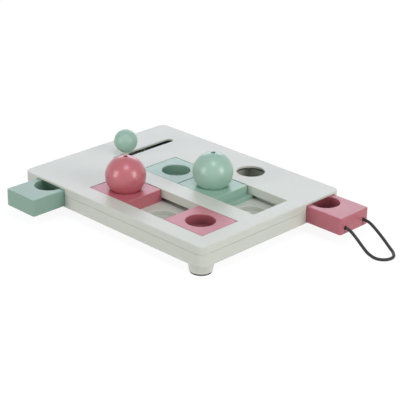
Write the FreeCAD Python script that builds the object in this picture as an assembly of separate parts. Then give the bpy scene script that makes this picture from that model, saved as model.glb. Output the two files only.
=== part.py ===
import FreeCAD, Part
import math
import os

# Sliding puzzle feeder board for a dog, in millimetres.
# X runs along the long sides, Y across the board, Z up. The origin is on the floor
# under the middle of the board. The pieces stand as they are in use: both drawers
# are part way out, two balls sit in their cups and each window has one empty place.

V = FreeCAD.Vector

# Sliders and windows
window_width = 47.7
slider_pitch = 51.2
places = 3
slider_gap = 0.35
slider_side_gap = 0.5
slider_drop = 0.3
slider_wall = 2.0
slider_cover = 1.4
slider_corner = 0.9
slider_edge = 0.6
flange_side = 3.2
flange_end = 5.8
flange_height = 3.9
flange_edge = 0.4
skirt_wall = 1.4
skirt_clearance = 0.5

# Where things stand along and across the board, from edge to edge
knob_drawer_inset = 41.6
drawer_to_window = 36.6
window_inset = 18.2
front_margin = 19.15
window_spacing = 21.3
window_to_drawer = 28.15
cord_drawer_inset = 30.0
round_hole_inset = 92.0

# Board
corner_radius = 8.0
shell_depth = 7.5
tray_depth = 13.5
foot_height = 8.5
pad_showing = 1.5
wall = 2.0
plate = 2.0
tray_floor = 1.4
top_round = 1.0
bottom_round = 1.0
rim_round = 0.4
seam_height = 0.7
seam_depth = 0.5
lip_height = 2.0
lip_root = 3.0
lip_wall = 1.3
lip_gap = 0.2
parting_gap = 0.1

# Treat cups and wells
cup_radius = 14.25
cup_wall = 1.8
cup_floor = 1.0
cup_rim = 0.5
deck_drop = 13.2
deck_plate = 1.8
deck_wall = 1.4
deck_margin = 1.0
deck_gap = 0.1
well_wall = 1.3
well_floor = 1.2

# Drawers
drawer_width = 41.4
drawer_top_gap = 0.4
drawer_floor_gap = 0.2
drawer_side_gap = 0.4
drawer_corner = 2.4
drawer_edge = 0.9
drawer_under_edge = 0.45
drawer_wall = 2.0
drawer_front_wall = 2.4
drawer_cover = 1.4
drawer_cup_floor = 1.2
drawer_cup_back = 36.6
cord_drawer_length = 112.0
cord_drawer_out = 42.3
knob_drawer_length = 66.0
knob_drawer_out = 38.8
rail_wall = 1.6
rail_height = 12.0
rail_run_on = 4.0
stop_gap = 0.3

# Knob of the second drawer
stem_radius = 3.2
slot_gap = 1.2
slot_offset = 1.4
knob_back = 140.3
knob_run_out = 11.3
knob_run_in = 62.1
knob_radius = 12.0
knob_height = 15.8
knob_bore_depth = 8.0
tongue_width = 22.0
tongue_height = 5.0
tongue_end = 9.0
stem_screw_radius = 1.25
stem_screw_head = 3.0
stem_screw_head_height = 1.8
stem_screw_reach = 12.0

# Balls
ball_radius = 20.0
ball_wall = 2.4
ball_seat_gap = 0.3
ball_hole_radius = 2.4
ball_lap = 1.5
ball_lap_wall = 0.9
ball_lap_gap = 0.1

# Feet
foot_inset = 12.8
foot_top_radius = 12.4
foot_bottom_radius = 10.9
foot_edge = 0.5
pad_inset = 0.1
pad_plug_radius = 5.0
pad_plug_height = 2.0
pad_edge = 0.3
spigot_radius = 4.0
spigot_gap = 0.1

# Screws that close the board
side_screw_inset = 7.5
front_screw_inset = 8.0
left_screw_y = 60.0
rear_screw_x = -25.0
boss_radius = 3.5
boss_meet = 6.0
boss_gap = 0.3
screw_radius = 1.3
screw_hole_gap = 0.1
screw_head_radius = 2.4
screw_head_height = 1.8
screw_head_gap = 0.2
screw_head_sink = 2.6
screw_reach = 9.0
recess_depth = 0.7
recess_width = 0.7
recess_margin = 1.0

# Pull cord
cord_diameter = 3.1
cord_hole_gap = 0.6
cord_hole_spread = 27.4
cord_hole_height = 18.0
knot_radius = 3.6
knot_length = 6.0
knot_round = 1.3

# How far joined shapes run into each other, and how far a cutting shape runs past a face
overlap = 0.2
past = 1.0

# Outlines that follow from the sizes above
window_length = places * slider_pitch
board_length = knob_drawer_inset + drawer_to_window + window_length + window_inset
board_width = front_margin + 2 * window_width + window_spacing + window_to_drawer + cord_drawer_inset
half_length = board_length / 2
half_width = board_width / 2
knob_drawer_x = -half_length + knob_drawer_inset
window_right = half_length - window_inset
window_left = window_right - window_length
window_middle_x = (window_left + window_right) / 2
front_window_y = -half_width + front_margin + window_width / 2
rear_window_y = front_window_y + window_width + window_spacing
cord_drawer_y = half_width - cord_drawer_inset
round_hole_x = half_length - round_hole_inset
cord_drawer_front = half_length + cord_drawer_out
knob_drawer_front = -half_width - knob_drawer_out
channel_half = drawer_width / 2 + drawer_side_gap

# Heights that follow
tray_bottom = foot_height + pad_showing
parting = tray_bottom + tray_depth
top = parting + shell_depth
floor_top = tray_bottom + tray_floor
plate_under = top - plate
deck_top = top - deck_drop
slider_bottom = deck_top + deck_gap
slider_top = top - slider_drop
flange_top = slider_bottom + flange_height
skirt_bottom = flange_top + skirt_clearance
drawer_bottom = floor_top + drawer_floor_gap
drawer_top = plate_under - drawer_top_gap
boss_bottom = floor_top + boss_meet

# The knob's stem and slot, and how deep a ball sinks into a cup
knob_x = knob_drawer_x - slot_offset
knob_y = knob_drawer_front + knob_back
knob_z = top + knob_height
tongue_top = drawer_bottom + tongue_height
slot_half = stem_radius + slot_gap
slot_near_y = knob_y - knob_run_out - slot_half
slot_far_y = knob_y + knob_run_in + slot_half
seat_radius = ball_radius + ball_seat_gap
ball_z = slider_top - cup_rim + math.sqrt(seat_radius ** 2 - cup_radius ** 2)

# The screws' names and places
side_screw_x = half_length - side_screw_inset
screw_places = [
    ("left_front", -side_screw_x, -left_screw_y),
    ("left_rear", -side_screw_x, left_screw_y),
    ("rear", rear_screw_x, cord_drawer_y),
    ("right_rear", side_screw_x, rear_window_y),
    ("right_front", side_screw_x, front_window_y),
    ("front", window_middle_x, -half_width + front_screw_inset),
]


def box(x0, x1, y0, y1, z0, z1):
    """A plain block between two corners."""
    return Part.makeBox(x1 - x0, y1 - y0, z1 - z0, V(x0, y0, z0))


def rod(x, y, z0, z1, radius):
    """An upright cylinder."""
    return Part.makeCylinder(radius, z1 - z0, V(x, y, z0))


def cone(x, y, z0, z1, r0, r1):
    """An upright cone whose radius is r0 at the bottom and r1 at the top."""
    return Part.makeCone(r0, r1, z1 - z0, V(x, y, z0))


def upright_edges(shape):
    """The edges of a prism that run along Z."""
    found = []
    for edge in shape.Edges:
        if edge.BoundBox.XLength < 1e-6 and edge.BoundBox.YLength < 1e-6:
            found.append(edge)
    return found


def level_edges(shape, z):
    """The edges that lie at one height."""
    found = []
    for edge in shape.Edges:
        if abs(edge.BoundBox.ZMin - z) < 1e-6 and abs(edge.BoundBox.ZMax - z) < 1e-6:
            found.append(edge)
    return found


def rounded(x0, x1, y0, y1, z0, z1, corner, top_edge=0.0, bottom_edge=0.0):
    """A block with round upright corners and softened top and bottom edges."""
    shape = box(x0, x1, y0, y1, z0, z1)
    if corner > 0:
        shape = shape.makeFillet(corner, upright_edges(shape))
    if top_edge > 0:
        shape = shape.makeFillet(top_edge, level_edges(shape, z1))
    if bottom_edge > 0:
        shape = shape.makeFillet(bottom_edge, level_edges(shape, z0))
    return shape


def board_prism(inset, z0, z1, top_edge=0.0, bottom_edge=0.0):
    """The board's outline, drawn in by a distance, between two heights."""
    x = half_length - inset
    y = half_width - inset
    return rounded(-x, x, -y, y, z0, z1, corner_radius - inset, top_edge, bottom_edge)


def one_solid(shape):
    """The single solid of a finished shape."""
    shape = shape.removeSplitter()
    return shape.Solids[0] if len(shape.Solids) == 1 else shape


def cup_cut(shape, x, y, z0, z1):
    """The shape with a round cup cut from z0 up to its face at z1, with a softened rim."""
    shape = shape.cut(rod(x, y, z0, z1 + past, cup_radius))
    return shape.cut(cone(x, y, z1 - cup_rim, z1, cup_radius, cup_radius + cup_rim))


def window_frame(y, z0, z1, grow):
    """The outline of the window at y, grown by a distance."""
    half = window_width / 2 + grow
    return box(window_left - grow, window_right + grow, y - half, y + half, z0, z1)


def drawer_openings():
    """The two holes in the board's walls that the drawers come out of."""
    inner = wall + lip_gap + lip_wall + past
    knob_side = box(knob_drawer_x - channel_half, knob_drawer_x + channel_half,
                    -half_width - past, -half_width + inner, floor_top, plate_under)
    cord_side = box(half_length - inner, half_length + past,
                    cord_drawer_y - channel_half, cord_drawer_y + channel_half, floor_top, plate_under)
    return knob_side.fuse(cord_side)


def slot_cutter(z0, z1):
    """The long slot that the knob's stem runs in."""
    near = slot_near_y + slot_half
    far = slot_far_y - slot_half
    body = box(knob_x - slot_half, knob_x + slot_half, near, far, z0, z1)
    for y in (near, far):
        body = body.fuse(rod(knob_x, y, z0, z1, slot_half))
    return body.removeSplitter()


def soften_openings(shell):
    """Rounds the top edges of the windows, the hole and the slot."""
    level = [f for f in shell.Faces if f.BoundBox.ZLength < 1e-6 and abs(f.BoundBox.ZMax - top) < 1e-6]
    face = max(level, key=lambda f: f.Area)
    edges = []
    for wire in face.Wires:
        if not wire.isSame(face.OuterWire):
            edges.extend(wire.Edges)
    return shell.makeFillet(rim_round, edges)


def top_shell():
    """The upper half: a plate with outer walls, window skirts and screw bosses."""
    shell = board_prism(0.0, parting + parting_gap, top, top_edge=top_round)
    shell = shell.cut(board_prism(wall, parting - past, plate_under))
    for y in (front_window_y, rear_window_y):
        shell = shell.fuse(window_frame(y, skirt_bottom, plate_under, skirt_wall))
    for name, x, y in screw_places:
        shell = shell.fuse(rod(x, y, boss_bottom, plate_under, boss_radius))
    for y in (front_window_y, rear_window_y):
        shell = shell.cut(window_frame(y, skirt_bottom - past, top + past, 0.0))
    shell = shell.cut(rod(round_hole_x, cord_drawer_y, plate_under - past, top + past, cup_radius))
    shell = shell.cut(slot_cutter(plate_under - past, top + past))
    shell = shell.cut(drawer_openings())
    pilot_top = tray_bottom + screw_head_sink + screw_reach + past
    for name, x, y in screw_places:
        shell = shell.cut(rod(x, y, boss_bottom - past, pilot_top, screw_radius + screw_hole_gap))
    return one_solid(soften_openings(shell.removeSplitter()))


def seam_groove():
    """The thin ring cut from the tray's top edge, which shows as a dark line."""
    ring = board_prism(-past, parting - seam_height, parting + past)
    return ring.cut(board_prism(seam_depth, parting - seam_height - past, parting + 2 * past))


def locating_lip():
    """The ring inside the tray's wall that stands up into the upper half."""
    below = board_prism(wall - overlap, parting - lip_root, parting)
    above = board_prism(wall + lip_gap, parting, parting + lip_height)
    inner = wall + lip_gap + lip_wall
    lip = below.fuse(above).cut(board_prism(inner, parting - lip_root - past, parting + lip_height + past))
    for name, x, y in screw_places:
        lip = lip.cut(rod(x, y, parting - lip_root - past, parting + lip_height + past, boss_radius + boss_gap))
    return lip


def knob_rails():
    """The two rails beside the knob's drawer."""
    rails = []
    for side in (-1, 1):
        near = knob_drawer_x + side * channel_half
        far = near + side * rail_wall
        rails.append(box(min(near, far), max(near, far), -half_width + wall - overlap, slot_near_y + rail_run_on,
                         floor_top - overlap, floor_top + rail_height))
    return rails


def cord_rails():
    """The two rails beside the cord's drawer and the stop behind it."""
    z0 = floor_top - overlap
    z1 = floor_top + rail_height
    back = half_length - cord_drawer_length - stop_gap
    rails = []
    for side in (-1, 1):
        near = cord_drawer_y + side * channel_half
        far = near + side * rail_wall
        rails.append(box(back - rail_wall, half_length - wall + overlap, min(near, far), max(near, far), z0, z1))
    half = channel_half + rail_wall
    rails.append(box(back - rail_wall, back, cord_drawer_y - half, cord_drawer_y + half, z0, z1))
    return rails


def foot_places():
    """The four places of the feet, with the names of their corners."""
    x = half_length - foot_inset
    y = half_width - foot_inset
    return [("front_left", -x, -y), ("front_right", x, -y), ("rear_left", -x, y), ("rear_right", x, y)]


def base_tray():
    """The lower half: floor, outer wall, locating lip, rails and screw columns."""
    tray = board_prism(0.0, tray_bottom, parting, bottom_edge=bottom_round)
    tray = tray.cut(board_prism(wall, floor_top, parting + past))
    tray = tray.cut(seam_groove())
    tray = tray.fuse(locating_lip())
    tray = tray.cut(drawer_openings())
    for rail in knob_rails() + cord_rails():
        tray = tray.fuse(rail)
    for name, x, y in screw_places:
        tray = tray.fuse(rod(x, y, floor_top - overlap, boss_bottom, boss_radius))
    sink_top = tray_bottom + screw_head_sink
    for name, x, y in screw_places:
        tray = tray.cut(rod(x, y, tray_bottom - past, sink_top, screw_head_radius + screw_head_gap))
        tray = tray.cut(rod(x, y, tray_bottom, boss_bottom + past, screw_radius + screw_hole_gap))
    for name, x, y in foot_places():
        tray = tray.cut(rod(x, y, tray_bottom - past, floor_top + past, spigot_radius + spigot_gap))
    return one_solid(tray)


def place_x(place):
    """The middle of one of the three places in a window, counted from the left."""
    return window_left + (place + 0.5) * slider_pitch


def well_deck():
    """The floor that the sliders run on, with a treat well at every place."""
    x0 = window_left - flange_end - deck_margin
    x1 = window_right + flange_end + deck_margin
    y0 = front_window_y - window_width / 2 - flange_side - deck_margin
    y1 = rear_window_y + window_width / 2 + flange_side + deck_margin
    deck = box(x0, x1, y0, y1, floor_top, deck_top)
    deck = deck.cut(box(x0 + deck_wall, x1 - deck_wall, y0 + deck_wall, y1 - deck_wall,
                        floor_top - past, deck_top - deck_plate))
    centres = [(place_x(place), y) for y in (front_window_y, rear_window_y) for place in range(places)]
    for x, y in centres:
        deck = deck.fuse(rod(x, y, floor_top, deck_top - deck_plate / 2, cup_radius + well_wall))
    for x, y in centres:
        deck = cup_cut(deck, x, y, floor_top + well_floor, deck_top)
    for name, x, y in screw_places:
        deck = deck.cut(rod(x, y, floor_top - past, deck_top + past, boss_radius + boss_gap))
    return one_solid(deck)


def slider(place, window_y, end_side):
    """One slider: a hollow block with a cup, and a flange below on three sides, with its cover."""
    x = place_x(place)
    half_x = slider_pitch / 2 - slider_gap
    half_y = window_width / 2 - slider_side_gap
    block = rounded(x - half_x, x + half_x, window_y - half_y, window_y + half_y,
                    slider_bottom, slider_top, slider_corner, top_edge=slider_edge)
    reach = {-1: (flange_end, 0.0), 1: (0.0, flange_end)}[end_side]
    flange = rounded(x - half_x - reach[0], x + half_x + reach[1],
                     window_y - half_y - flange_side, window_y + half_y + flange_side,
                     slider_bottom, flange_top, slider_corner, top_edge=flange_edge)
    body = block.fuse(flange)
    inside = (x - half_x + slider_wall, x + half_x - slider_wall,
              window_y - half_y + slider_wall, window_y + half_y - slider_wall)
    body = body.cut(box(*inside, slider_bottom - past, slider_top - slider_wall))
    cup_bottom = slider_bottom + slider_cover
    body = body.fuse(rod(x, window_y, cup_bottom, slider_top - slider_wall / 2, cup_radius + cup_wall))
    body = cup_cut(body, x, window_y, cup_bottom + cup_floor, slider_top)
    return one_solid(body), box(*inside, slider_bottom, cup_bottom)


def drawer_block(length, cups):
    """A hollow drawer with cups and its cover, pointing along +X with its front at the origin."""
    half = drawer_width / 2
    body = rounded(-length, 0.0, -half, half, drawer_bottom, drawer_top, drawer_corner,
                   top_edge=drawer_edge, bottom_edge=drawer_under_edge)
    inside = (-length + drawer_wall, -drawer_front_wall, -half + drawer_wall, half - drawer_wall)
    body = body.cut(box(*inside, drawer_bottom - past, drawer_top - drawer_wall))
    cup_bottom = drawer_bottom + drawer_cover
    for back in cups:
        body = body.fuse(rod(-back, 0.0, cup_bottom, drawer_top - drawer_wall / 2, cup_radius + cup_wall))
    for back in cups:
        body = cup_cut(body, -back, 0.0, cup_bottom + drawer_cup_floor, drawer_top)
    return body, box(*inside, drawer_bottom, cup_bottom)


def placed(shape, angle, x, y):
    """The shape turned about Z and moved to its place."""
    turned = shape.copy()
    turned.rotate(V(0, 0, 0), V(0, 0, 1), angle)
    turned.translate(V(x, y, 0))
    return one_solid(turned)


def cord_drawer():
    """The drawer that is pulled out by the cord, and its cover."""
    body, cover = drawer_block(cord_drawer_length, (drawer_cup_back, round_hole_inset))
    for side in (-1, 1):
        start = V(-drawer_front_wall - past, side * cord_hole_spread / 2, cord_hole_height)
        hole = Part.makeCylinder(cord_diameter / 2 + cord_hole_gap, drawer_front_wall + 2 * past, start, V(1, 0, 0))
        body = body.cut(hole)
    return [placed(s, 0, cord_drawer_front, cord_drawer_y) for s in (body, cover)]


def knob_drawer():
    """The drawer that is moved by the knob, with the low tongue behind it, and its cover."""
    body, cover = drawer_block(knob_drawer_length, (drawer_cup_back,))
    half = tongue_width / 2
    tongue = box(-knob_back - tongue_end, -knob_drawer_length + drawer_wall / 2, -half, half, drawer_bottom, tongue_top)
    body = body.fuse(tongue)
    hole = stem_screw_radius + screw_hole_gap
    body = body.cut(rod(-knob_back, -slot_offset, drawer_bottom - past, tongue_top + past, hole))
    sink = drawer_bottom + stem_screw_head_height + screw_head_gap
    body = body.cut(rod(-knob_back, -slot_offset, drawer_bottom - past, sink, stem_screw_head + screw_head_gap))
    return [placed(s, -90, knob_drawer_x, knob_drawer_front) for s in (body, cover)]


def knob_stem():
    """The round stem that joins the knob to its drawer through the slot."""
    stem = rod(knob_x, knob_y, tongue_top, knob_z - knob_radius + knob_bore_depth, stem_radius)
    pilot_top = tongue_top + stem_screw_reach
    pilot = rod(knob_x, knob_y, tongue_top - past, pilot_top, stem_screw_radius + screw_hole_gap)
    return one_solid(stem.cut(pilot))


def knob_ball():
    """The small ball on the stem."""
    ball = Part.makeSphere(knob_radius, V(knob_x, knob_y, knob_z))
    bottom = knob_z - knob_radius
    return one_solid(ball.cut(rod(knob_x, knob_y, bottom - past, bottom + knob_bore_depth, stem_radius)))


def screw(x, y, z, head_radius, head_height, radius, reach):
    """A screw that points up, with its cross recess below and its head's lower face at z."""
    head = rod(x, y, z, z + head_height, head_radius)
    half = head_radius - recess_margin
    for half_x, half_y in ((half, recess_width / 2), (recess_width / 2, half)):
        head = head.cut(box(x - half_x, x + half_x, y - half_y, y + half_y, z - past, z + recess_depth))
    neck = z + head_height
    shank = rod(x, y, neck - overlap, neck + reach - radius, radius)
    point = cone(x, y, neck + reach - radius, neck + reach, radius, radius / 3)
    return one_solid(head.fuse(shank).fuse(point))


def knob_screw():
    """The screw that holds the stem on the tongue."""
    sink = drawer_bottom + screw_head_gap
    reach = tongue_top + stem_screw_reach - past - sink - stem_screw_head_height
    return screw(knob_x, knob_y, sink, stem_screw_head, stem_screw_head_height, stem_screw_radius, reach)


def ball_halves(x, y):
    """A hollow ball in two halves that lap at the middle, with a small hole at the top."""
    centre = V(x, y, ball_z)
    inner = ball_radius - ball_wall
    shell = Part.makeSphere(ball_radius, centre).cut(Part.makeSphere(inner, centre))
    r = ball_radius + past
    below = shell.cut(box(x - r, x + r, y - r, y + r, ball_z, ball_z + r))
    above = shell.cut(box(x - r, x + r, y - r, y + r, ball_z - r, ball_z))
    lap = rod(x, y, ball_z - overlap, ball_z + ball_lap, inner + ball_lap_wall)
    below = below.fuse(lap.cut(rod(x, y, ball_z - past, ball_z + ball_lap + past, inner)))
    recess_top = ball_z + ball_lap + ball_lap_gap
    above = above.cut(rod(x, y, ball_z - past, recess_top, inner + ball_lap_wall + ball_lap_gap))
    above = above.cut(rod(x, y, ball_z, ball_z + r, ball_hole_radius))
    return one_solid(below), one_solid(above)


def foot(x, y):
    """A round tapered foot with a spigot above and a recess for its pad below."""
    body = cone(x, y, pad_showing, tray_bottom, foot_bottom_radius, foot_top_radius)
    body = body.makeFillet(foot_edge, level_edges(body, pad_showing))
    body = body.fuse(rod(x, y, tray_bottom - overlap, floor_top - spigot_gap, spigot_radius))
    return one_solid(body.cut(rod(x, y, 0.0, pad_showing + pad_plug_height, pad_plug_radius)))


def pad(x, y):
    """The rubber pad under a foot, held by a plug in the foot."""
    disc = rod(x, y, 0.0, pad_showing, foot_bottom_radius - foot_edge - pad_inset)
    disc = disc.makeFillet(pad_edge, level_edges(disc, 0.0))
    return one_solid(disc.fuse(rod(x, y, pad_showing - overlap, pad_showing + pad_plug_height, pad_plug_radius)))


# The pull cord's route, hole to hole. The loop droops to the floor and lies there.
cord_start = cord_drawer_front - drawer_front_wall
near_y = cord_drawer_y - cord_hole_spread / 2
far_y = cord_drawer_y + cord_hole_spread / 2
cord_rest = cord_diameter / 2
cord_route = [
    (cord_start, near_y, cord_hole_height),
    (171.6, near_y, cord_hole_height),
    (180.0, 53.1, 12.9),
    (188.5, 52.9, 6.4),
    (194.8, 52.3, 2.4),
    (199.6, 51.0, cord_rest),
    (209.1, 48.3, cord_rest),
    (217.2, 53.8, cord_rest),
    (218.4, 63.5, cord_rest),
    (211.8, 71.2, cord_rest),
    (203.0, 76.8, 1.8),
    (194.5, 80.4, 4.6),
    (186.0, 81.2, 10.0),
    (178.0, 80.8, 15.6),
    (172.3, far_y, cord_hole_height),
    (cord_start, far_y, cord_hole_height),
]


def cord_path(points):
    """Straight runs joined by tangent arcs, each as large as its two runs allow."""
    points = [V(*p) for p in points]
    edges = []
    at = points[0]
    for before, corner, after in zip(points, points[1:], points[2:]):
        into = corner - before
        out = after - corner
        shorter = min(into.Length, out.Length)
        into.normalize()
        out.normalize()
        turn = into.getAngle(out)
        cut = 0.45 * shorter
        radius = cut / math.tan(turn / 2)
        print("cord corner at", [round(c, 1) for c in corner], "turn", round(math.degrees(turn), 1),
              "radius", round(radius, 1))
        start = corner - into * cut
        end = corner + out * cut
        towards = out - into
        towards.normalize()
        middle = corner + towards * (radius / math.cos(turn / 2) - radius)
        edges.append(Part.LineSegment(at, start).toShape())
        edges.append(Part.Arc(start, middle, end).toShape())
        at = end
    edges.append(Part.LineSegment(at, points[-1]).toShape())
    return Part.Wire(edges)


def pull_cord():
    """The cord as a plain tube from hole to hole."""
    path = cord_path(cord_route)
    section = Part.Wire([Part.makeCircle(cord_diameter / 2, V(*cord_route[0]), V(1, 0, 0))])
    tube = path.makePipeShell([section], True, False, 2)
    area = math.pi * (cord_diameter / 2) ** 2
    print("cord length", round(path.Length, 1), "volume", round(tube.Volume, 1), "section by length",
          round(area * path.Length, 1))
    return tube.Solids[0]


def cord_knot(y):
    """A knot behind the drawer's front wall that holds one end of the cord."""
    body = Part.makeCylinder(knot_radius, knot_length, V(cord_start - knot_length, y, cord_hole_height), V(1, 0, 0))
    rims = [e for e in body.Edges if e.BoundBox.XLength < 1e-6]
    return body.makeFillet(knot_round, rims)


def write(name, shape):
    """Writes one piece and says how large it is."""
    b = shape.optimalBoundingBox()
    print(name, "solids", len(shape.Solids), "valid", shape.isValid(), "volume", round(shape.Volume, 1),
          "x", round(b.XMin, 2), round(b.XMax, 2), "y", round(b.YMin, 2), round(b.YMax, 2),
          "z", round(b.ZMin, 2), round(b.ZMax, 2))
    shape.exportStep("parts/" + name + ".step")


def write_board():
    """Writes the pieces that stand still."""
    write("top_shell", top_shell())
    write("base_tray", base_tray())
    write("well_deck", well_deck())
    for name, x, y in screw_places:
        head_under = tray_bottom + screw_head_sink - screw_head_height
        write(name + "_screw", screw(x, y, head_under, screw_head_radius, screw_head_height, screw_radius, screw_reach))
    for corner, x, y in foot_places():
        write(corner + "_foot", foot(x, y))
        write(corner + "_pad", pad(x, y))


def write_sliders():
    """Writes the four sliders and the two balls that stand in them."""
    sliders = [
        ("pink_ball_slider", 0, front_window_y, -1),
        ("pink_cup_slider", 2, front_window_y, 1),
        ("green_cup_slider", 0, rear_window_y, -1),
        ("green_ball_slider", 1, rear_window_y, 1),
    ]
    for name, place, window_y, end_side in sliders:
        body, cover = slider(place, window_y, end_side)
        write(name, body)
        write(name + "_cover", cover)
    for name, place, window_y in (("pink_ball", 0, front_window_y), ("green_ball", 1, rear_window_y)):
        lower, upper = ball_halves(place_x(place), window_y)
        write(name + "_lower_half", lower)
        write(name + "_upper_half", upper)


def write_drawers():
    """Writes the two drawers with their knob and cord."""
    for name, pieces in (("knob_drawer", knob_drawer()), ("cord_drawer", cord_drawer())):
        write(name, pieces[0])
        write(name + "_cover", pieces[1])
    write("knob_stem", knob_stem())
    write("knob_ball", knob_ball())
    write("knob_screw", knob_screw())
    write("pull_cord", pull_cord())
    write("near_cord_knot", cord_knot(near_y))
    write("far_cord_knot", cord_knot(far_y))


os.makedirs("parts", exist_ok=True)
write_board()
write_sliders()
write_drawers()
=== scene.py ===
import bpy
import math
from mathutils import Matrix, Vector
from mathutils.kdtree import KDTree


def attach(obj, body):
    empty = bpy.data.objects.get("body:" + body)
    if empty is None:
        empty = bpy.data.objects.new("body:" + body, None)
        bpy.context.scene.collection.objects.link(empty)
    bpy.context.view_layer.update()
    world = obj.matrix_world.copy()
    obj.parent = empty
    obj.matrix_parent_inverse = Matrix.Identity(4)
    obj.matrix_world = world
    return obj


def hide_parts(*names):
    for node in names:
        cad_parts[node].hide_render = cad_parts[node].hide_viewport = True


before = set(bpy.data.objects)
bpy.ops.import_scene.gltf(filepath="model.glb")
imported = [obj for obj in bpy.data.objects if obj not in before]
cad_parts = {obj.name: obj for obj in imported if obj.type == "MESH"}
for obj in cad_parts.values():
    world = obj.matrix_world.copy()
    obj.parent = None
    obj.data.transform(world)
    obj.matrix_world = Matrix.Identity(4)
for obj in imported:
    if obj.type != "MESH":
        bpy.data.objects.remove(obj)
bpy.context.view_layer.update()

# Sliding puzzle feeder board for a dog. The moulded pieces come from the frame and get their
# finishes here. The pull cord is built here. Lengths are in metres.

# Camera
CAMERA_AT = Vector((0.87147, -0.86779, 0.55090))
CAMERA_FORWARD = Vector((-0.63800, 0.65609, -0.40312))
CAMERA_ROLL = math.radians(1.017)
CAMERA_LENS = 121.16
SENSOR = 36.0
CLIP_NEAR = 0.05
CLIP_FAR = 30.0

# Pull cord
CORD_DIAMETER = 0.0031
CORD_ROUTE = [
    (0.1649, 0.0533, 0.0180),
    (0.1716, 0.0533, 0.0180),
    (0.1800, 0.0531, 0.0129),
    (0.1885, 0.0529, 0.0064),
    (0.1948, 0.0523, 0.0024),
    (0.1996, 0.0510, 0.00155),
    (0.2091, 0.0483, 0.00155),
    (0.2172, 0.0538, 0.00155),
    (0.2184, 0.0635, 0.00155),
    (0.2118, 0.0712, 0.00155),
    (0.2030, 0.0768, 0.0018),
    (0.1945, 0.0804, 0.0046),
    (0.1860, 0.0812, 0.0100),
    (0.1780, 0.0808, 0.0156),
    (0.1723, 0.0807, 0.0180),
    (0.1649, 0.0807, 0.0180),
]
CORD_STEPS = 44
CORD_SIDES = 14
MAP_SEAM = 0.9999

# Braid of the cord: strands each way, the length of one turn, the depth of the weave, its yarn, and how
# sharp the painted highlight on the strands' crests is
CORD_STRANDS = 8
CORD_PITCH = 0.0078
CORD_RELIEF = 0.00013
STRAND_HEIGHT = 0.75
CROSSING_HEIGHT = 0.25
YARN_SCALE = 3600.0
YARN_RELIEF = 0.00008
CREST_HIGHLIGHT_SHARPNESS = 5.0

# Colours, as light values
BOARD_COLOUR = (0.658, 0.686, 0.612)
PINK_COLOUR = (0.500, 0.140, 0.172)
GREEN_COLOUR = (0.315, 0.500, 0.405)
RUBBER_COLOUR = (0.010, 0.011, 0.010)
CORD_DARK = (0.007, 0.008, 0.007)
# The lighter cord colour is a painted highlight on the strands' crests.
CORD_CREST_HIGHLIGHT = (0.034, 0.035, 0.033)
STEEL_COLOUR = (0.560, 0.560, 0.570)
PINK_BALL_COLOUR = (0.540, 0.138, 0.165)
GREEN_BALL_COLOUR = (0.350, 0.545, 0.445)
GREEN_DRAWER_COLOUR = (0.254, 0.406, 0.326)

# Plastic: its skin, and how open a place is where its painted shade starts and stops getting darker
PLASTIC_IOR = 1.52
COAT_ROUGHNESS = 0.2
GRAIN_SCALE = 1400.0
GRAIN_HEIGHT = 0.000012
BALL_GRAIN_HEIGHT = 0.000005
TINT_SCALE = 16.0
FLOW_SCALE = 38.0
SMUDGE_SCALE = 70.0
HIGHLIGHT_BREAKUP_SCALE = 160.0
EDGE_CONTRAST = 6.0
SHUT_IN = 0.25
IN_THE_OPEN = 0.85
OPENNESS_SAMPLES = 8

# Floor. Where it is seen, a part of its white glows and a part shows light and shadow.
FLOOR_SIZE = 12.0
FLOOR_DROP = 0.0002
FLOOR_COLOUR = (0.800, 0.800, 0.800)
FLOOR_GLOW = 0.90
FLOOR_SHADOW_PART = (0.170, 0.170, 0.170)

# Room and lamps. A lamp's direction is to the camera's right, up and back.
ROOM_COLOUR = (0.970, 0.985, 1.000)
ROOM_LIGHT = 0.26
LAMP_DISTANCE = 1.3
LAMP_TARGET = Vector((0.0, 0.0, 0.03))
WARM_LIGHT = (1.000, 0.985, 0.960)
COOL_LIGHT = (0.910, 0.910, 1.000)
SKY_LIGHT = (0.840, 0.850, 1.000)
LAMPS = [
    # name, direction, width and height, power, colour
    ("left_soft_box", (-0.80, 0.08, 0.59), (0.46, 0.64), 5.2, WARM_LIGHT),
    ("high_soft_box", (0.07, 0.66, 0.75), (0.46, 0.50), 4.2, COOL_LIGHT),
    ("right_soft_box", (0.76, 0.08, 0.65), (0.46, 0.64), 6.3, WARM_LIGHT),
    ("far_soft_box", (0.02, 0.738, -0.675), (1.00, 0.55), 4.1, SKY_LIGHT),
]

# Node trees
NODE_STEP = 220
FLOAT = "NodeSocketFloat"
COLOUR = "NodeSocketColor"
DIRECTION = "NodeSocketVector"


def view_axes():
    """The camera's right, up and back directions."""
    forward = CAMERA_FORWARD.normalized()
    right = forward.cross(Vector((0, 0, 1))).normalized()
    up = right.cross(forward)
    turned_right = math.cos(CAMERA_ROLL) * right + math.sin(CAMERA_ROLL) * up
    turned_up = math.cos(CAMERA_ROLL) * up - math.sin(CAMERA_ROLL) * right
    return turned_right, turned_up, -forward


def add_camera():
    """The camera at the photograph's viewing angle."""
    data = bpy.data.cameras.new("view_camera")
    data.sensor_width = SENSOR
    data.lens = CAMERA_LENS
    data.clip_start = CLIP_NEAR
    data.clip_end = CLIP_FAR
    camera = bpy.data.objects.new("view_camera", data)
    bpy.context.scene.collection.objects.link(camera)
    right, up, back = view_axes()
    place = Matrix((right, up, back)).transposed().to_4x4()
    place.translation = CAMERA_AT
    camera.matrix_world = place
    bpy.context.scene.camera = camera


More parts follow.
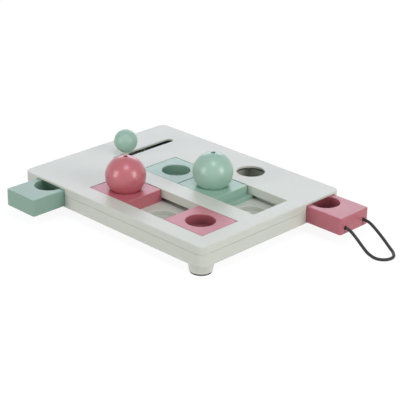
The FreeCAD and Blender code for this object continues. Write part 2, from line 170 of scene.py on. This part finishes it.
class Nodes:
    """A node tree that is filled from left to right."""

    def __init__(self, tree):
        self.tree = tree

    def add(self, kind, **inputs):
        """Adds a node. Inputs are named by their socket, with values or links."""
        node = self.tree.nodes.new(kind)
        node.location = (NODE_STEP * len(self.tree.nodes), 0)
        for name, value in inputs.items():
            self.join(node.inputs[name.replace("_", " ")], value)
        return node

    def join(self, socket, value):
        """Links an output to the socket, or sets the socket's value."""
        if isinstance(value, bpy.types.NodeSocket):
            self.tree.links.new(value, socket)
        elif isinstance(value, tuple) and len(value) == 3 and socket.type == "RGBA":
            socket.default_value = (*value, 1.0)
        else:
            socket.default_value = value

    def maths(self, operation, first, second=0.0):
        """A Math node's result."""
        node = self.add("ShaderNodeMath")
        node.operation = operation
        for socket, value in zip(node.inputs, (first, second)):
            self.join(socket, value)
        return node.outputs[0]

    def noise(self, scale, detail, **inputs):
        """Noise in the piece's own space."""
        place = self.add("ShaderNodeTexCoord").outputs["Object"]
        node = self.add("ShaderNodeTexNoise", Vector=place, Scale=scale, Detail=detail, **inputs)
        return node.outputs["Fac"]

    def scale_colour(self, colour, amount):
        """The colour made lighter or darker."""
        node = self.add("ShaderNodeVectorMath")
        node.operation = "SCALE"
        self.join(node.inputs[0], colour)
        self.join(node.inputs["Scale"], amount)
        return node.outputs[0]

    def mix_colour(self, amount, first, second):
        """A blend of two colours."""
        node = self.add("ShaderNodeMix")
        node.data_type = "RGBA"
        self.join(node.inputs[0], amount)
        self.join(node.inputs[6], first)
        self.join(node.inputs[7], second)
        return node.outputs[2]

    def spread(self, value, low, high):
        """The value, from 0 to 1, stretched between two others."""
        node = self.add("ShaderNodeMapRange")
        self.join(node.inputs[0], value)
        self.join(node.inputs[3], low)
        self.join(node.inputs[4], high)
        return node.outputs[0]


def new_group(name, inputs, outputs):
    """An empty node group with named sockets, its nodes and its two end nodes."""
    tree = bpy.data.node_groups.new(name, "ShaderNodeTree")
    for label, kind, value in inputs:
        socket = tree.interface.new_socket(label, in_out="INPUT", socket_type=kind)
        socket.default_value = value
    for label, kind in outputs:
        tree.interface.new_socket(label, in_out="OUTPUT", socket_type=kind)
    nodes = Nodes(tree)
    entry = tree.nodes.new("NodeGroupInput")
    result = tree.nodes.new("NodeGroupOutput")
    return nodes, entry, result


def moulded_surface_group():
    """Colour, roughness and fine relief of moulded plastic that has been handled a little."""
    inputs = [
        ("Colour", COLOUR, (0.5, 0.5, 0.5, 1.0)),
        ("Tint Spread", FLOAT, 0.04),
        ("Roughness", FLOAT, 0.4),
        ("Roughness Spread", FLOAT, 0.06),
        ("Grain Scale", FLOAT, GRAIN_SCALE),
        ("Grain Height", FLOAT, GRAIN_HEIGHT),
        ("Flow Height", FLOAT, 0.00006),
    ]
    outputs = [("Colour", COLOUR), ("Roughness", FLOAT), ("Normal", DIRECTION)]
    nodes, entry, result = new_group("moulded surface", inputs, outputs)
    broad = nodes.noise(TINT_SCALE, 3.0)
    grain = nodes.noise(entry.outputs["Grain Scale"], 2.0)
    flow = nodes.noise(FLOW_SCALE, 1.0)
    smudge = nodes.noise(SMUDGE_SCALE, 5.0, Roughness=0.65)
    dark = nodes.maths("SUBTRACT", 1.0, entry.outputs["Tint Spread"])
    light = nodes.maths("ADD", 1.0, entry.outputs["Tint Spread"])
    tinted = nodes.scale_colour(entry.outputs["Colour"], nodes.spread(broad, dark, light))
    low = nodes.maths("SUBTRACT", entry.outputs["Roughness"], entry.outputs["Roughness Spread"])
    high = nodes.maths("ADD", entry.outputs["Roughness"], entry.outputs["Roughness Spread"])
    rough = nodes.spread(smudge, low, high)
    wave = nodes.add("ShaderNodeBump", Strength=1.0, Distance=entry.outputs["Flow Height"], Height=flow)
    skin = nodes.add("ShaderNodeBump", Strength=1.0, Distance=entry.outputs["Grain Height"],
                     Height=grain, Normal=wave.outputs[0])
    nodes.join(result.inputs["Colour"], tinted)
    nodes.join(result.inputs["Roughness"], rough)
    nodes.join(result.inputs["Normal"], skin.outputs[0])
    return nodes.tree


def painted_edge_highlight_group():
    """A mask of the outer edges, where a painted highlight lightens the colour."""
    inputs = [("Edge Width", FLOAT, 0.0009), ("Breakup", FLOAT, 0.35)]
    nodes, entry, result = new_group("painted edge highlight", inputs, [("Mask", FLOAT)])
    soft = nodes.add("ShaderNodeBevel", Radius=entry.outputs["Edge Width"]).outputs[0]
    plain = nodes.add("ShaderNodeNewGeometry").outputs["Normal"]
    facing = nodes.add("ShaderNodeVectorMath")
    facing.operation = "DOT_PRODUCT"
    nodes.join(facing.inputs[0], soft)
    nodes.join(facing.inputs[1], plain)
    bend = nodes.maths("SUBTRACT", 1.0, facing.outputs["Value"])
    edge = nodes.maths("MULTIPLY", bend, EDGE_CONTRAST)
    broken_up = nodes.maths("MULTIPLY", nodes.noise(HIGHLIGHT_BREAKUP_SCALE, 4.0), entry.outputs["Breakup"])
    mask = nodes.maths("SUBTRACT", edge, broken_up)
    clamped = nodes.add("ShaderNodeClamp")
    nodes.join(clamped.inputs[0], mask)
    nodes.join(result.inputs["Mask"], clamped.outputs[0])
    return nodes.tree


def painted_shade_group():
    """Painted shade: a colour that gets darker down in cups and other deep places, where little light
    reaches.
    """
    inputs = [
        ("Colour", COLOUR, (0.5, 0.5, 0.5, 1.0)),
        ("Reach", FLOAT, 0.022),
        ("Darkest", FLOAT, 0.45),
    ]
    nodes, entry, result = new_group("deep places", inputs, [("Colour", COLOUR)])
    open_sky = nodes.add("ShaderNodeAmbientOcclusion", Distance=entry.outputs["Reach"])
    open_sky.samples = OPENNESS_SAMPLES
    open_sky.only_local = True
    shallow = nodes.add("ShaderNodeMapRange")
    shallow.interpolation_type = "SMOOTHSTEP"
    nodes.join(shallow.inputs[0], open_sky.outputs["AO"])
    nodes.join(shallow.inputs[1], SHUT_IN)
    nodes.join(shallow.inputs[2], IN_THE_OPEN)
    nodes.join(shallow.inputs[3], entry.outputs["Darkest"])
    nodes.join(shallow.inputs[4], 1.0)
    shaded = nodes.scale_colour(entry.outputs["Colour"], shallow.outputs[0])
    nodes.join(result.inputs["Colour"], shaded)
    return nodes.tree


def use_group(nodes, tree, **inputs):
    """A copy of the group in a material, with this material's own values."""
    node = nodes.add("ShaderNodeGroup")
    node.node_tree = tree
    for name, value in inputs.items():
        nodes.join(node.inputs[name.replace("_", " ")], value)
    return node


def new_material(name):
    """An empty material and its shader."""
    material = bpy.data.materials.new(name)
    material.use_nodes = True
    nodes = Nodes(material.node_tree)
    shader = material.node_tree.nodes["Principled BSDF"]
    return material, nodes, shader


def join_surface(nodes, shader, surface, colour):
    """Links a colour, and the moulded surface's roughness and relief, to the shader."""
    nodes.join(shader.inputs["Base Color"], colour)
    nodes.join(shader.inputs["Roughness"], surface.outputs["Roughness"])
    nodes.join(shader.inputs["Normal"], surface.outputs["Normal"])


def plastic(name, colour, roughness, edge_highlight=0.10, tint=0.03, grain=GRAIN_HEIGHT, darkest_painted_shade=1.0, coat=0.0):
    """Moulded plastic, with a painted highlight on its edges and painted shade in its deep places where it
    has any.
    """
    material, nodes, shader = new_material(name)
    surface = use_group(nodes, MOULDED, Colour=colour, Tint_Spread=tint, Roughness=roughness,
                        Grain_Height=grain, Grain_Scale=GRAIN_SCALE)
    skin = surface.outputs["Colour"]
    # Painted highlight: the colour is lightened along the outer edges.
    if edge_highlight > 0:
        edges = use_group(nodes, EDGE_HIGHLIGHT)
        lighter = tuple(c + (1.0 - c) * edge_highlight for c in colour)
        skin = nodes.mix_colour(edges.outputs["Mask"], skin, lighter)
    # Painted shade: the colour is darkened in cups and other deep places.
    if darkest_painted_shade < 1.0:
        skin = use_group(nodes, PAINTED_SHADE, Colour=skin, Darkest=darkest_painted_shade).outputs["Colour"]
    join_surface(nodes, shader, surface, skin)
    shader.inputs["IOR"].default_value = PLASTIC_IOR
    if coat > 0:
        shader.inputs["Coat Weight"].default_value = coat
        shader.inputs["Coat Roughness"].default_value = COAT_ROUGHNESS
    return material


def rubber(name):
    """Matt black rubber with a pitted skin."""
    material, nodes, shader = new_material(name)
    surface = use_group(nodes, MOULDED, Colour=RUBBER_COLOUR, Tint_Spread=0.25, Roughness=0.85,
                        Grain_Height=0.00003, Grain_Scale=2600.0)
    join_surface(nodes, shader, surface, surface.outputs["Colour"])
    shader.inputs["Specular IOR Level"].default_value = 0.25
    return material


def plated_steel(name):
    """Zinc plated steel with fine turning marks."""
    material, nodes, shader = new_material(name)
    surface = use_group(nodes, MOULDED, Colour=STEEL_COLOUR, Tint_Spread=0.08, Roughness=0.34,
                        Grain_Height=0.00001, Grain_Scale=3000.0)
    join_surface(nodes, shader, surface, surface.outputs["Colour"])
    shader.inputs["Metallic"].default_value = 1.0
    return material


def braid(name):
    """Black braided cord, with a painted highlight on the strands' crests. The map runs along the cord in U
    and round it in V, in metres and turns.
    """
    material, nodes, shader = new_material(name)
    at = nodes.add("ShaderNodeUVMap").outputs[0]
    split = nodes.add("ShaderNodeSeparateXYZ", Vector=at)
    along = nodes.maths("DIVIDE", split.outputs[0], CORD_PITCH)
    around = split.outputs[1]
    waves = []
    for way in (1.0, -1.0):
        turn = nodes.maths("MULTIPLY", along, way)
        phase = nodes.maths("MULTIPLY", nodes.maths("ADD", around, turn), CORD_STRANDS)
        swing = nodes.maths("SINE", nodes.maths("MULTIPLY", phase, math.pi))
        waves.append(nodes.maths("ABSOLUTE", swing))
    crest = nodes.maths("MAXIMUM", waves[0], waves[1])
    yarn = nodes.noise(YARN_SCALE, 3.0)
    # The colour turns lighter near the strands' crests: a painted highlight, broken up by the yarn's random
    # tone.
    glint = nodes.maths("POWER", crest, CREST_HIGHLIGHT_SHARPNESS)
    crest_highlight = nodes.maths("MULTIPLY", glint, nodes.spread(yarn, 0.2, 1.3))
    shade = nodes.mix_colour(crest_highlight, CORD_DARK, CORD_CREST_HIGHLIGHT)
    height = nodes.maths("ADD", crest, yarn)
    relief = nodes.add("ShaderNodeBump", Strength=1.0, Distance=YARN_RELIEF, Height=height)
    nodes.join(shader.inputs["Base Color"], shade)
    nodes.join(shader.inputs["Roughness"], nodes.spread(yarn, 0.55, 0.8))
    nodes.join(shader.inputs["Normal"], relief.outputs[0])
    shader.inputs["Sheen Weight"].default_value = 0.10
    shader.inputs["Sheen Roughness"].default_value = 0.4
    return material


def finish_for(name):
    """The finish of one moulded or bought piece, by its name."""
    if "screw" in name:
        return STEEL
    if name.endswith("_pad"):
        return RUBBER
    if "cord_knot" in name or name == "pull_cord":
        return BRAID
    if name.startswith("pink_ball_") and "half" in name:
        return PINK_BALL
    if name.startswith("green_ball_") and "half" in name:
        return GREEN_BALL
    if name == "knob_ball":
        return KNOB
    if name.startswith("pink") or name.startswith("cord_drawer"):
        return PINK
    if name.startswith("knob_drawer"):
        return GREEN_DRAWER
    if name.startswith("green"):
        return GREEN
    if name == "well_deck":
        return DECK
    return BOARD


def cord_line():
    """The cord's route as a smooth open curve."""
    data = bpy.data.curves.new("cord_line", "CURVE")
    data.dimensions = "3D"
    data.resolution_u = CORD_STEPS
    data.twist_mode = "MINIMUM"
    line = data.splines.new("NURBS")
    line.points.add(len(CORD_ROUTE) - 1)
    for point, at in zip(line.points, CORD_ROUTE):
        point.co = (*at, 1.0)
    line.order_u = 3
    line.use_endpoint_u = True
    return data


def mesh_of_curve(data):
    """The curve's mesh as it is drawn."""
    holder = bpy.data.objects.new("cord_holder", data)
    bpy.context.scene.collection.objects.link(holder)
    graph = bpy.context.evaluated_depsgraph_get()
    graph.update()
    mesh = bpy.data.meshes.new_from_object(holder.evaluated_get(graph), depsgraph=graph)
    bpy.data.objects.remove(holder)
    return mesh


def braided_height(along, around):
    """How high the braid stands, from 0 to 1: strands of two ways that pass over and under."""
    turn = along / CORD_PITCH
    first = (around + turn) * CORD_STRANDS
    second = (around - turn) * CORD_STRANDS
    over = math.cos(math.pi * (first - second) / 2) * math.cos(math.pi * (first + second) / 2)
    one = abs(math.sin(math.pi * first)) * (STRAND_HEIGHT + CROSSING_HEIGHT * over)
    other = abs(math.sin(math.pi * second)) * (STRAND_HEIGHT - CROSSING_HEIGHT * over)
    return max(one, other)


def running_lengths(centres):
    """How far along the line each of its points is."""
    lengths = [0.0]
    for before, after in zip(centres, centres[1:]):
        lengths.append(lengths[-1] + (after - before).length)
    return lengths


def nearest_centres(mesh, centres):
    """For each of the mesh's points, the number of the nearest point of the line."""
    finder = KDTree(len(centres))
    for index, centre in enumerate(centres):
        finder.insert(centre, index)
    finder.balance()
    return [finder.find(vertex.co)[1] for vertex in mesh.vertices]


def add_cord(material):
    """The pull cord: a braided tube along the route, with a map along and round it."""
    data = cord_line()
    centres = [v.co.copy() for v in mesh_of_curve(data).vertices]
    lengths = running_lengths(centres)
    data.bevel_depth = CORD_DIAMETER / 2
    data.bevel_resolution = CORD_SIDES
    data.use_fill_caps = True
    mesh = mesh_of_curve(data)
    layer = mesh.uv_layers.active.data
    # A point on the map's seam has both 0 and 1 there. The 0 counts.
    around_of = {}
    for loop in mesh.loops:
        if layer[loop.index].uv.y < MAP_SEAM:
            around_of[loop.vertex_index] = layer[loop.index].uv.y
    nearest = nearest_centres(mesh, centres)
    for polygon in mesh.polygons:
        polygon.use_smooth = True
        for index in polygon.loop_indices:
            at = mesh.loops[index].vertex_index
            layer[index].uv = (lengths[nearest[at]], layer[index].uv.y)
    for vertex in mesh.vertices:
        centre = centres[nearest[vertex.index]]
        height = braided_height(lengths[nearest[vertex.index]], around_of.get(vertex.index, 0.0))
        drawn_in = 2 * CORD_RELIEF * (1.0 - height) / CORD_DIAMETER
        vertex.co = centre + (vertex.co - centre) * (1.0 - drawn_in)
    cord = bpy.data.objects.new("braided_pull_cord", mesh)
    bpy.context.scene.collection.objects.link(cord)
    mesh.materials.clear()
    mesh.materials.append(material)
    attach(cord, "cord_drawer")
    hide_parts("pull_cord")


def seen_or_mirrored(nodes):
    """1 where a surface is seen straight, mirrored or through glass, and 0 where it only lights."""
    path = nodes.add("ShaderNodeLightPath")
    seen = nodes.maths("MAXIMUM", path.outputs["Is Camera Ray"], path.outputs["Is Glossy Ray"])
    return nodes.maths("MAXIMUM", seen, path.outputs["Is Transmission Ray"])


def add_floor():
    """A pale floor that shows white and keeps a soft shadow."""
    bpy.ops.mesh.primitive_plane_add(size=FLOOR_SIZE, location=(0, 0, -FLOOR_DROP))
    floor = bpy.context.object
    floor.name = "floor"
    material = bpy.data.materials.new("white floor")
    material.use_nodes = True
    tree = material.node_tree
    tree.nodes.clear()
    nodes = Nodes(tree)
    seen = seen_or_mirrored(nodes)
    tone = nodes.mix_colour(seen, FLOOR_COLOUR, FLOOR_SHADOW_PART)
    strength = nodes.maths("MULTIPLY", seen, FLOOR_GLOW)
    matt = nodes.add("ShaderNodeBsdfDiffuse", Color=tone)
    glow = nodes.add("ShaderNodeEmission", Color=(1.0, 1.0, 1.0), Strength=strength)
    both = nodes.add("ShaderNodeAddShader")
    nodes.join(both.inputs[0], matt.outputs[0])
    nodes.join(both.inputs[1], glow.outputs[0])
    out = nodes.add("ShaderNodeOutputMaterial")
    nodes.join(out.inputs[0], both.outputs[0])
    floor.data.materials.append(material)


def add_world():
    """A pale room: white where it is seen or mirrored, softer where it lights."""
    world = bpy.data.worlds.new("pale room")
    bpy.context.scene.world = world
    world.use_nodes = True
    tree = world.node_tree
    nodes = Nodes(tree)
    background = tree.nodes["Background"]
    nodes.join(background.inputs["Color"], ROOM_COLOUR)
    nodes.join(background.inputs["Strength"], nodes.spread(seen_or_mirrored(nodes), ROOM_LIGHT, 1.0))


def add_lamp(name, direction, size, power, colour):
    """A soft box that faces the object."""
    right, up, back = view_axes()
    away = (direction[0] * right + direction[1] * up + direction[2] * back).normalized()
    data = bpy.data.lights.new(name, "AREA")
    data.shape = "RECTANGLE"
    data.size, data.size_y = size
    data.energy = power
    data.color = colour
    lamp = bpy.data.objects.new(name, data)
    bpy.context.scene.collection.objects.link(lamp)
    lamp.location = LAMP_TARGET + away * LAMP_DISTANCE
    lamp.rotation_mode = "QUATERNION"
    lamp.rotation_quaternion = away.to_track_quat("Z", "Y")


add_camera()
MOULDED = moulded_surface_group()
EDGE_HIGHLIGHT = painted_edge_highlight_group()
PAINTED_SHADE = painted_shade_group()

# Each material below sets its own painted shade in deep places and painted highlight on edges.
BOARD = plastic("board plastic", BOARD_COLOUR, 0.40, tint=0.012, darkest_painted_shade=0.85)
DECK = plastic("deck plastic", BOARD_COLOUR, 0.45, tint=0.015)
PINK = plastic("pink plastic", PINK_COLOUR, 0.36, edge_highlight=0.22, darkest_painted_shade=0.44)
GREEN = plastic("green plastic", GREEN_COLOUR, 0.36, edge_highlight=0.22, darkest_painted_shade=0.78)
GREEN_DRAWER = plastic("green drawer plastic", GREEN_DRAWER_COLOUR, 0.38, edge_highlight=0.22, darkest_painted_shade=0.9)
PINK_BALL = plastic("pink ball plastic", PINK_BALL_COLOUR, 0.30, edge_highlight=0.0,
                    grain=BALL_GRAIN_HEIGHT, coat=0.35)
GREEN_BALL = plastic("green ball plastic", GREEN_BALL_COLOUR, 0.31, edge_highlight=0.0,
                     grain=BALL_GRAIN_HEIGHT, coat=0.15)
KNOB = plastic("knob plastic", GREEN_BALL_COLOUR, 0.38, edge_highlight=0.0, grain=BALL_GRAIN_HEIGHT)
RUBBER = rubber("pad rubber")
STEEL = plated_steel("plated steel")
BRAID = braid("black braid")

add_cord(BRAID)

for name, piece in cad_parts.items():
    for slot in piece.material_slots:
        slot.material = finish_for(name)

add_floor()
add_world()
for lamp in LAMPS:
    add_lamp(*lamp)

scene = bpy.context.scene
scene.view_settings.view_transform = "Standard"
